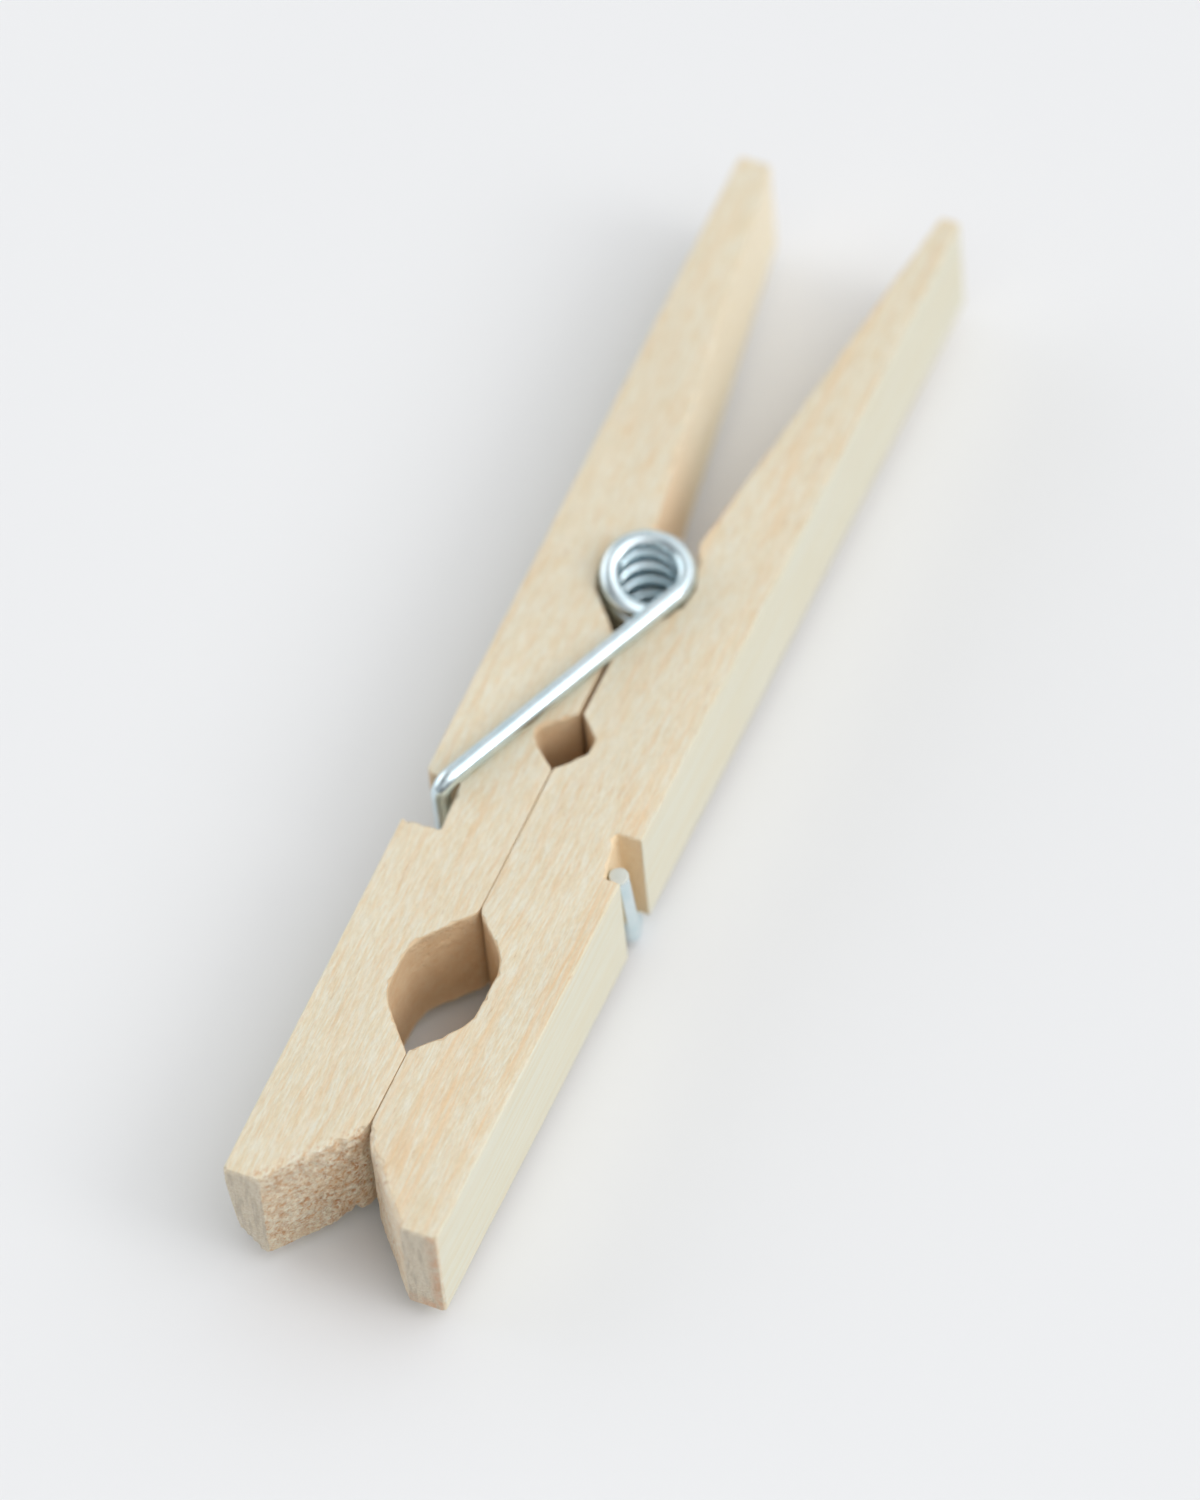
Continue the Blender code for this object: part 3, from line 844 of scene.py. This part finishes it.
def wood_material(name, offset, warm):
    """Bare pale wood: long fibres, short orange flecks and dashes, growth bands, paler planed outer faces (partly
    painted sheen), darker end grain and rough milled walls, with painted light and shade on the lead-ins, hollows,
    notch and tail slopes."""
    net = Net(name)
    where = net.node("ShaderNodeTexCoord").outputs["Object"]
    p = net.shift(net.scale(where, (1000, 1000, 1000)), offset)  # in mm
    milled, endness, outer_face = net.tag("milled"), net.tag("endness"), net.tag("outer_face")
    deep, rim, torn = net.tag("deep"), net.tag("rim"), net.tag("torn")

    sway = net.noise(net.scale(p, (0.25, 0.05, 0.25)), 1.0, 2.0, colour=True)
    swayed = net.shift(p, net.scale(net.shift(sway, (-0.5, -0.5, -0.5)), (1.4, 0.0, 1.4)))

    fibre = net.noise(net.scale(swayed, (8.5, 0.75, 8.5)), 1.0, 3.0, 0.65)
    fleck = net.noise(net.scale(swayed, (5.2, 0.95, 5.2)), 1.0, 3.5, 0.70)
    streak = net.noise(net.scale(swayed, (2.3, 0.20, 2.3)), 1.0, 3.5, 0.66)
    dash = net.noise(net.scale(swayed, (5.4, 0.62, 5.4)), 1.0, 2.0, 0.6)
    dash_where = net.noise(net.scale(p, (0.55, 0.12, 0.55)), 1.0, 2.0, 0.5)
    band = net.noise(net.scale(swayed, (0.85, 0.018, 0.55)), 1.0, 2.0, 0.6)
    cloud = net.noise(net.scale(p, (0.30, 0.09, 0.30)), 1.0, 3.0, 0.55)

    pale = srgb(226, 221, 202)
    honey = srgb(222, 208, 178)
    orange = srgb(221, 189, 147)
    brown = srgb(190, 146, 104)
    chalk = srgb(230, 228, 216)

    colour = net.mix(net.remap(fibre, 0.36, 0.66), honey, pale)
    colour = net.mix(net.math("MULTIPLY", net.remap(fleck, 0.50, 0.74), 0.46), colour, orange)
    colour = net.mix(net.math("MULTIPLY", net.remap(streak, 0.50, 0.70), 0.55), colour, orange)
    colour = net.mix(net.math("MULTIPLY", net.remap(fleck, 0.50, 0.28), 0.38), colour, chalk)
    lines = net.noise(net.scale(swayed, (6.0, 0.16, 6.0)), 1.0, 2.0, 0.6)
    warm_band = net.math("MULTIPLY", net.remap(band, 0.48, 0.66), net.remap(lines, 0.44, 0.60, 0.30 * warm, 1.10 * warm))
    colour = net.mix(warm_band, colour, srgb(228, 197, 156))
    dashes = net.math("MULTIPLY", net.remap(dash, 0.64, 0.74), net.remap(dash_where, 0.52, 0.62))
    colour = net.mix(net.math("MULTIPLY", dashes, 0.5), colour, brown)
    speck = net.noise(net.scale(p, (11.0, 3.0, 11.0)), 1.0, 2.0, 0.7)
    tone = net.math("MULTIPLY", net.remap(cloud, 0.3, 0.7, 0.95, 1.005, smooth=False), net.remap(speck, 0.32, 0.68, 0.935, 1.035, smooth=False))
    tone3 = net.node("ShaderNodeCombineColor", {0: tone, 1: tone, 2: tone}).outputs[0]
    colour = net.mix(1.0, colour, tone3, "MULTIPLY")

    # the planed outer faces are smoother; their paler, slightly green-grey tone is partly the planed wood's own and
    # partly painted sheen, the grazing reflection of the bright room
    grain = net.noise(net.scale(swayed, (3.4, 0.10, 3.4)), 1.0, 2.0, 0.5)
    plane = net.mix(net.remap(grain, 0.35, 0.72), srgb(222, 221, 204), srgb(220, 214, 189))
    colour = net.mix(net.math("MULTIPLY", outer_face, 0.86), colour, plane)

    # the wood is crumbled along the lip of the lead-in: dark and pale flecks there are partly the torn wood's own
    # colour and partly painted shade in the crevices and painted light on the crumbs; on the right leg the lead-in
    # itself is painted paler, painted light on that face
    spot = net.node("ShaderNodeSeparateXYZ", {0: net.scale(where, (1000, 1000, 1000))}).outputs
    across = net.math("ABSOLUTE", spot[0])
    off_lip = net.math("ADD", net.math("MULTIPLY", across, 0.757), net.math("MULTIPLY", spot[1], 0.654))
    off_lip = net.math("ADD", off_lip, 43.2 * 0.654 - 4.3 * 0.757)
    lip = net.math("MULTIPLY", net.remap(off_lip, 1.1, 0.05), net.remap(spot[1], -37.6, -38.6))
    crumbs = net.noise(net.scale(p, (4.6, 2.6, 4.6)), 1.0, 3.0, 0.7)
    amount = 0.75 if warm < 0.5 else 0.35
    colour = net.mix(net.math("MULTIPLY", net.math("MULTIPLY", lip, net.remap(crumbs, 0.50, 0.66)), amount), colour, srgb(196, 140, 88))
    colour = net.mix(net.math("MULTIPLY", net.math("MULTIPLY", lip, net.remap(crumbs, 0.46, 0.34)), amount), colour, srgb(238, 232, 216))
    if warm > 0.5:
        # painted light: the right leg's lead-in is made paler
        lead_in_painted_light = net.math("MULTIPLY", net.remap(spot[1], -37.2, -38.2), net.math("MULTIPLY", milled, 0.85))
        colour = net.mix(lead_in_painted_light, colour, net.mix(net.remap(fleck, 0.4, 0.6), srgb(246, 238, 220), srgb(238, 218, 186)))

    # end grain: closed dark pores in pale grey-brown wood
    pore = net.cells(net.scale(p, (5.2, 0.6, 5.2)), 1.0)
    pores = net.remap(pore, 0.30, 0.12)
    ray = net.noise(net.scale(p, (3.4, 0.5, 0.42)), 1.0, 3.0, 0.65)
    end_colour = net.mix(net.remap(fibre, 0.35, 0.65), srgb(210, 197, 174), srgb(226, 216, 197))
    end_colour = net.mix(net.math("MULTIPLY", pores, 0.45), end_colour, srgb(168, 134, 98))
    end_colour = net.mix(net.math("MULTIPLY", net.remap(ray, 0.48, 0.66), 0.55), end_colour, srgb(176, 163, 145))
    if warm > 0.5:  # this end is browner towards its outer and lower edges
        at = net.node("ShaderNodeSeparateXYZ", {0: net.scale(where, (1000, 1000, 1000))}).outputs
        side_edge = net.math("MAXIMUM", net.remap(at[0], 5.5, 6.25), net.remap(at[2], -2.3, -3.4))
        side_edge = net.math("MULTIPLY", side_edge, net.remap(edge_noise(net, p), 0.35, 0.6, 0.2, 0.75))
        end_colour = net.mix(side_edge, end_colour, srgb(214, 160, 118))
    flat_end = net.math("MULTIPLY", net.remap(endness, 0.55, 0.95), 0.85)
    colour = net.mix(flat_end, colour, end_colour)

    # milled walls: torn pores as brown dots, some scorched by the cutter
    tear = net.noise(net.scale(p, (4.4, 2.0, 4.4)), 1.0, 3.0, 0.65)
    rough_part = net.noise(net.scale(p, (0.9, 0.8, 0.8)), 1.0, 3.0, 0.6)
    inward = net.remap(net.math("ABSOLUTE", net.node("ShaderNodeSeparateXYZ", {0: net.scale(where, (1000, 1000, 1000))}).outputs[0]), 4.3, 0.8, 0.30, 1.0)
    patchy = net.math("MULTIPLY", net.remap(rough_part, 0.36, 0.62, 0.25, 1.0), inward)
    tears = net.math("MULTIPLY", net.remap(tear, 0.50, 0.68), net.math("MULTIPLY", torn, patchy))
    tears = net.math("MULTIPLY", tears, 1.0 if warm < 0.5 else 0.55)
    colour = net.mix(tears, colour, srgb(176, 114, 64))
    # the left leg's lead-in gets dark and pale clumps: partly torn wood, partly painted shade in the crevices and
    # painted light on the lumps
    if warm < 0.5:
        lead_in = net.math("MULTIPLY", milled, net.remap(spot[1], -37.4, -38.4))
        clump = net.noise(net.scale(p, (2.9, 2.1, 2.9)), 1.0, 4.0, 0.72)
        colour = net.mix(net.math("MULTIPLY", lead_in, net.remap(clump, 0.50, 0.64, 0.0, 0.62)), colour, srgb(184, 126, 76))
        colour = net.mix(net.math("MULTIPLY", lead_in, net.remap(clump, 0.47, 0.34, 0.0, 0.70)), colour, srgb(244, 234, 212))
    burn = net.noise(net.scale(p, (0.7, 0.45, 0.9)), 1.0, 3.0, 0.6)
    burnt = net.math("MULTIPLY", net.remap(burn, 0.40, 0.72), net.math("MULTIPLY", torn, 0.40))
    colour = net.mix(burnt, colour, srgb(206, 164, 118))
    parts = net.node("ShaderNodeSeparateXYZ", {0: net.scale(where, (1000, 1000, 1000))}).outputs
    # the walls between the legs are cut across the grain: one even, warmer tone from top to bottom, partly the cut
    # wood's own colour and partly painted warm bounce light from the hollows and the seam, kept even as the jaws also
    # stand open and show them in full light
    mottle = net.noise(net.scale(p, (1.7, 1.2, 1.7)), 1.0, 4.0, 0.6)
    wall = net.mix(net.remap(mottle, 0.36, 0.64), srgb(229, 198, 156), srgb(225, 188, 142))
    colour = net.mix(net.math("MULTIPLY", deep, 0.72), colour, wall)
    # the tails' inner slopes are painted paler, painted light on faces turned to the bright side, and more orange where
    # they leave the coil, painted warm light there
    painted_light_near_coil = net.math("MULTIPLY", net.remap(parts[1], 13.0, 4.0), net.remap(parts[1], 1.0, 3.5))
    painted_light_near_coil = net.math("MULTIPLY", painted_light_near_coil, net.math("MULTIPLY", milled, 0.7))
    slope = net.math("MULTIPLY", net.remap(parts[1], 3.2, 6.0), net.math("MULTIPLY", milled, 0.85))
    colour = net.mix(slope, colour, net.mix(net.remap(fibre, 0.35, 0.65), srgb(240, 228, 202), srgb(246, 238, 218)))
    colour = net.mix(painted_light_near_coil, colour, srgb(240, 210, 172))

    if warm > 0.5:  # the wire notch is painted paler than the other cuts: painted light on its walls
        notch = net.math("MULTIPLY", net.remap(across, 3.4, 4.0), net.math("MULTIPLY", milled, 0.8))
        notch = net.math("MULTIPLY", notch, net.math("MULTIPLY", net.remap(parts[1], -19.6, -19.0), net.remap(parts[1], -14.6, -15.4)))
        colour = net.mix(notch, colour, net.mix(net.remap(fibre, 0.35, 0.65), srgb(244, 214, 170), srgb(250, 226, 188)))

    # broken edges catch the light, with a few dirty spots
    edge_spots = net.noise(net.scale(p, (2.2, 0.9, 2.2)), 1.0, 3.0, 0.6)
    rim_pale = net.math("MULTIPLY", rim, net.remap(edge_spots, 0.38, 0.62, 0.0, 0.42))
    colour = net.mix(rim_pale, colour, srgb(236, 220, 190))
    rim_dark = net.math("MULTIPLY", rim, net.remap(edge_spots, 0.60, 0.74, 0.0, 0.38))
    colour = net.mix(rim_dark, colour, srgb(196, 150, 104))

    rough_base = net.remap(fibre, 0.3, 0.7, 0.74, 0.60)
    rough = net.math("ADD", rough_base, net.math("MULTIPLY", milled, 0.20), clamp=True)

    height = net.math("ADD", net.math("MULTIPLY", fibre, 0.55), net.math("MULTIPLY", fleck, 0.45))
    height = net.math("SUBTRACT", height, net.math("MULTIPLY", dashes, 0.35))
    broad = net.math("SUBTRACT", 1.0, net.math("MULTIPLY", outer_face, 0.65))
    first = net.bump(net.math("MULTIPLY", height, broad), 0.000035, 0.75)
    pits = net.math("ADD", net.math("MULTIPLY", tear, -1.0), net.math("MULTIPLY", pores, -0.35))
    pits = net.math("MULTIPLY", pits, net.math("MAXIMUM", milled, flat_end))
    second = net.bump(pits, 0.00011, 0.85, first)

    shader = net.node(
        "ShaderNodeBsdfPrincipled",
        {"Base Color": colour, "Roughness": rough, "Specular IOR Level": 0.32, "Normal": second},
    )
    net.put(shader.inputs["Sheen Weight"], 0.06)
    net.put(shader.inputs["Sheen Roughness"], 0.6)
    out = net.node("ShaderNodeOutputMaterial")
    net.tree.links.new(shader.outputs[0], out.inputs[0])
    net.material.diffuse_color = srgb(228, 214, 186)
    return net.material


def zinc_material(name):
    """Bright zinc on drawn wire: lines along the wire, faint bluish cloud,
    and a dull sheared face on the cut ends."""
    net = Net(name)
    along, around, cut = net.tag("along"), net.tag("around"), net.tag("cut")
    turn = net.math("MULTIPLY", around, 2 * math.pi)
    ring = net.node(
        "ShaderNodeCombineXYZ",
        {0: net.math("COSINE", turn), 1: net.math("SINE", turn), 2: along},
    ).outputs[0]
    where = net.scale(net.node("ShaderNodeTexCoord").outputs["Object"], (1000, 1000, 1000))
    lines = net.noise(net.scale(ring, (7.0, 7.0, 0.10)), 1.0, 3.0, 0.65)
    scuff = net.noise(net.scale(ring, (2.2, 2.2, 0.55)), 1.0, 4.0, 0.6)
    cloud = net.noise(net.scale(where, (0.9, 0.9, 0.9)), 1.0, 3.0, 0.6)
    grit = net.noise(net.scale(where, (9.0, 9.0, 9.0)), 1.0, 2.0, 0.6)
    colour = net.mix(net.remap(cloud, 0.32, 0.70), (0.765, 0.865, 0.905, 1), (0.640, 0.790, 0.845, 1))
    colour = net.mix(net.math("MULTIPLY", net.remap(scuff, 0.60, 0.74), 0.35), colour, (0.62, 0.65, 0.68, 1))
    # the wire below the top turn, near the coil's axis, is painted a darker teal: painted shade on the coil's lower
    # turns
    spot = net.node("ShaderNodeSeparateXYZ", {0: where}).outputs
    round_axis = net.math("ADD", net.math("MULTIPLY", spot[0], spot[0]), net.math("MULTIPLY", spot[1], spot[1]))
    coil_inside_painted_shade = net.math("MULTIPLY", net.remap(spot[2], 8.2, 7.2), net.remap(spot[2], 1.0, 1.8))
    coil_inside_painted_shade = net.math("MULTIPLY", coil_inside_painted_shade, net.remap(round_axis, 9.8, 8.8))
    colour = net.mix(net.math("MULTIPLY", coil_inside_painted_shade, 0.78), colour, (0.34, 0.56, 0.62, 1))
    colour = net.mix(net.math("MULTIPLY", cut, 0.7), colour, (0.60, 0.585, 0.49, 1))
    rough = net.remap(scuff, 0.35, 0.72, 0.14, 0.25)
    rough = net.math("ADD", rough, net.math("MULTIPLY", cut, 0.22))
    height = net.math("ADD", net.math("MULTIPLY", lines, 0.7), net.math("MULTIPLY", grit, 0.3))
    one = net.bump(height, 0.0000022, 0.8)
    two = net.bump(net.math("MULTIPLY", grit, cut), 0.00003, 0.8, one)
    shader = net.node(
        "ShaderNodeBsdfPrincipled",
        {
            "Base Color": colour,
            "Metallic": net.math("SUBTRACT", 1.0, net.math("MULTIPLY", cut, 0.75)),
            "Roughness": rough,
            "Normal": two,
        },
    )
    out = net.node("ShaderNodeOutputMaterial")
    net.tree.links.new(shader.outputs[0], out.inputs[0])
    net.material.diffuse_color = (0.78, 0.81, 0.84, 1)
    return net.material


def table_material(name):
    """A matt white table top with a trace of tooth."""
    net = Net(name)
    where = net.node("ShaderNodeTexCoord").outputs["Object"]
    fine = net.noise(net.scale(where, (900, 900, 900)), 1.0, 3.0, 0.6)
    wide = net.noise(net.scale(where, (9, 9, 9)), 1.0, 2.0, 0.5)
    colour = net.mix(net.remap(wide, 0.3, 0.7), (0.800, 0.805, 0.815, 1), (0.812, 0.817, 0.827, 1))
    shader = net.node(
        "ShaderNodeBsdfPrincipled",
        {
            "Base Color": colour,
            "Roughness": net.remap(fine, 0.3, 0.7, 0.72, 0.80),
            "Specular IOR Level": 0.18,
            "Normal": net.bump(fine, 0.000006, 0.4),
        },
    )
    out = net.node("ShaderNodeOutputMaterial")
    net.tree.links.new(shader.outputs[0], out.inputs[0])
    return net.material


# ======================================================================= pieces
left = make_stick("left_stick", LEFT, 7)
right = make_stick("right_stick", RIGHT, 43)
wire = make_wire("spring_wire", 3)
left.data.materials.append(wood_material("left_leg_wood_bare", (11.0, 4.0, 2.0), 0.22))
right.data.materials.append(wood_material("right_leg_wood_bare", (63.0, 27.0, 9.0), 0.66))
wire.data.materials.append(zinc_material("spring_wire_zinc"))

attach(left, "left_leg")
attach(right, "right_leg")
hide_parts("left_leg")
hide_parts("right_leg")
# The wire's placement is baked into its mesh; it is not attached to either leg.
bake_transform(wire)
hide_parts("torsion_spring")

# ======================================================================== stage
floor_mesh = bpy.data.meshes.new("table_top")
S = 6.0
floor_mesh.from_pydata([(-S, -S, 0), (S, -S, 0), (S, S, 0), (-S, S, 0)], [], [(0, 1, 2, 3)])
floor = bpy.data.objects.new("table_top", floor_mesh)
bpy.context.scene.collection.objects.link(floor)
floor.data.materials.append(table_material("table_white"))

# the room as soft patches of light: (azimuth, elevation, strength), in degrees
# from +X: a bright window on the right, a lighter wall low on the left, and
# little light from the camera's side
ROOM = (
    (0, 90, 0.51), (0, 50, 1.92), (60, 50, 0.80), (120, 50, 0.43), (180, 50, 0.29), (300, 50, 0.85),
    (0, 18, 0.54), (60, 18, 1.02), (120, 18, 0.83), (180, 18, 2.02), (240, 18, 0.58), (300, 18, 0.23),
)
world = bpy.data.worlds.new("soft_room")
bpy.context.scene.world = world
world.use_nodes = True
world.node_tree.nodes.clear()
net = Net("soft_room", world.node_tree)
ray = net.node("ShaderNodeLightPath")
way = net.node("ShaderNodeTexCoord").outputs["Generated"]


def aim(azimuth, elevation):
    a, e = math.radians(azimuth), math.radians(elevation)
    return Vector((math.cos(a) * math.cos(e), math.sin(a) * math.cos(e), math.sin(e)))


def patch(azimuth, elevation, strength):
    made = net.node("ShaderNodeVectorMath", operation="DOT_PRODUCT")
    net.put(made.inputs[0], way)
    net.put(made.inputs[1], tuple(aim(azimuth, elevation)))
    return net.remap(
        made.outputs["Value"], math.cos(math.radians(40)), math.cos(math.radians(8)), 0.0, strength * 0.8
    )


room = 0.0
for piece in ROOM:
    room = net.math("ADD", patch(*piece), room)
sky = net.node("ShaderNodeBackground", {"Color": (0.985, 0.992, 1.0, 1), "Strength": room})
seen = net.node("ShaderNodeBackground", {"Color": (0.845, 0.855, 0.868, 1), "Strength": 1.0})
both = net.node("ShaderNodeMixShader", {0: ray.outputs["Is Camera Ray"]})
net.tree.links.new(sky.outputs[0], both.inputs[1])
net.tree.links.new(seen.outputs[0], both.inputs[2])
out = net.node("ShaderNodeOutputWorld")
net.tree.links.new(both.outputs[0], out.inputs[0])


def panel(name, direction, distance, width, height, power, tint):
    data = bpy.data.lights.new(name, "AREA")
    data.shape = "RECTANGLE"
    data.size, data.size_y = width, height
    data.energy = power
    data.color = tint
    made = bpy.data.objects.new(name, data)
    bpy.context.scene.collection.objects.link(made)
    towards = Vector(direction).normalized()
    made.location = towards * distance
    made.rotation_mode = "QUATERNION"
    made.rotation_quaternion = towards.to_track_quat("Z", "Y")
    made.visible_camera = False
    return made


panel("key_panel", aim(2, 37), 1.8, 0.62, 0.85, 4.5, (1.0, 0.99, 0.975))

# ======================================================================= camera
RIGHT_AXIS = Vector((0.916734266142204, 0.3947147036664253, -0.06163268605407968))
DOWN_AXIS = Vector((0.29418870049201656, -0.7713730896805868, -0.564301838575282))
AHEAD = Vector((-0.2702800284585105, 0.49918319205092554, -0.8232647490268945))
SHIFT = Vector((0.36380394179892384, 1.001524915402399, 605.8102122450447))
eye = -(RIGHT_AXIS * SHIFT.x + DOWN_AXIS * SHIFT.y + AHEAD * SHIFT.z) * MM
camera_data = bpy.data.cameras.new("camera")
camera = bpy.data.objects.new("camera", camera_data)
bpy.context.scene.collection.objects.link(camera)
camera.matrix_world = Matrix.Translation(eye) @ Matrix(
    (RIGHT_AXIS, -DOWN_AXIS, -AHEAD)
).transposed().to_4x4()
camera_data.sensor_fit = "AUTO"
camera_data.sensor_width = 36
camera_data.lens = 264.0
camera_data.clip_start, camera_data.clip_end = 0.01, 50
sharp = bpy.data.objects.new("sharp_at", None)
bpy.context.scene.collection.objects.link(sharp)
sharp.location = (0, -0.024, 0.0083)
camera_data.dof.use_dof = True
camera_data.dof.focus_object = sharp
camera_data.dof.aperture_fstop = 17
drive = camera_data.dof.driver_add("aperture_fstop").driver
drive.type = "SCRIPTED"
var = drive.variables.new()
var.name = "x"
var.type = "TRANSFORMS"
var.targets[0].id = camera
var.targets[0].transform_type = "LOC_X"
var.targets[0].transform_space = "WORLD_SPACE"
drive.expression = f"17 if abs(x - {eye.x:.5f}) < 0.0005 else 120"
bpy.context.scene.camera = camera
bpy.context.scene.view_settings.view_transform = "Standard"
bpy.context.scene.view_settings.look = "None"
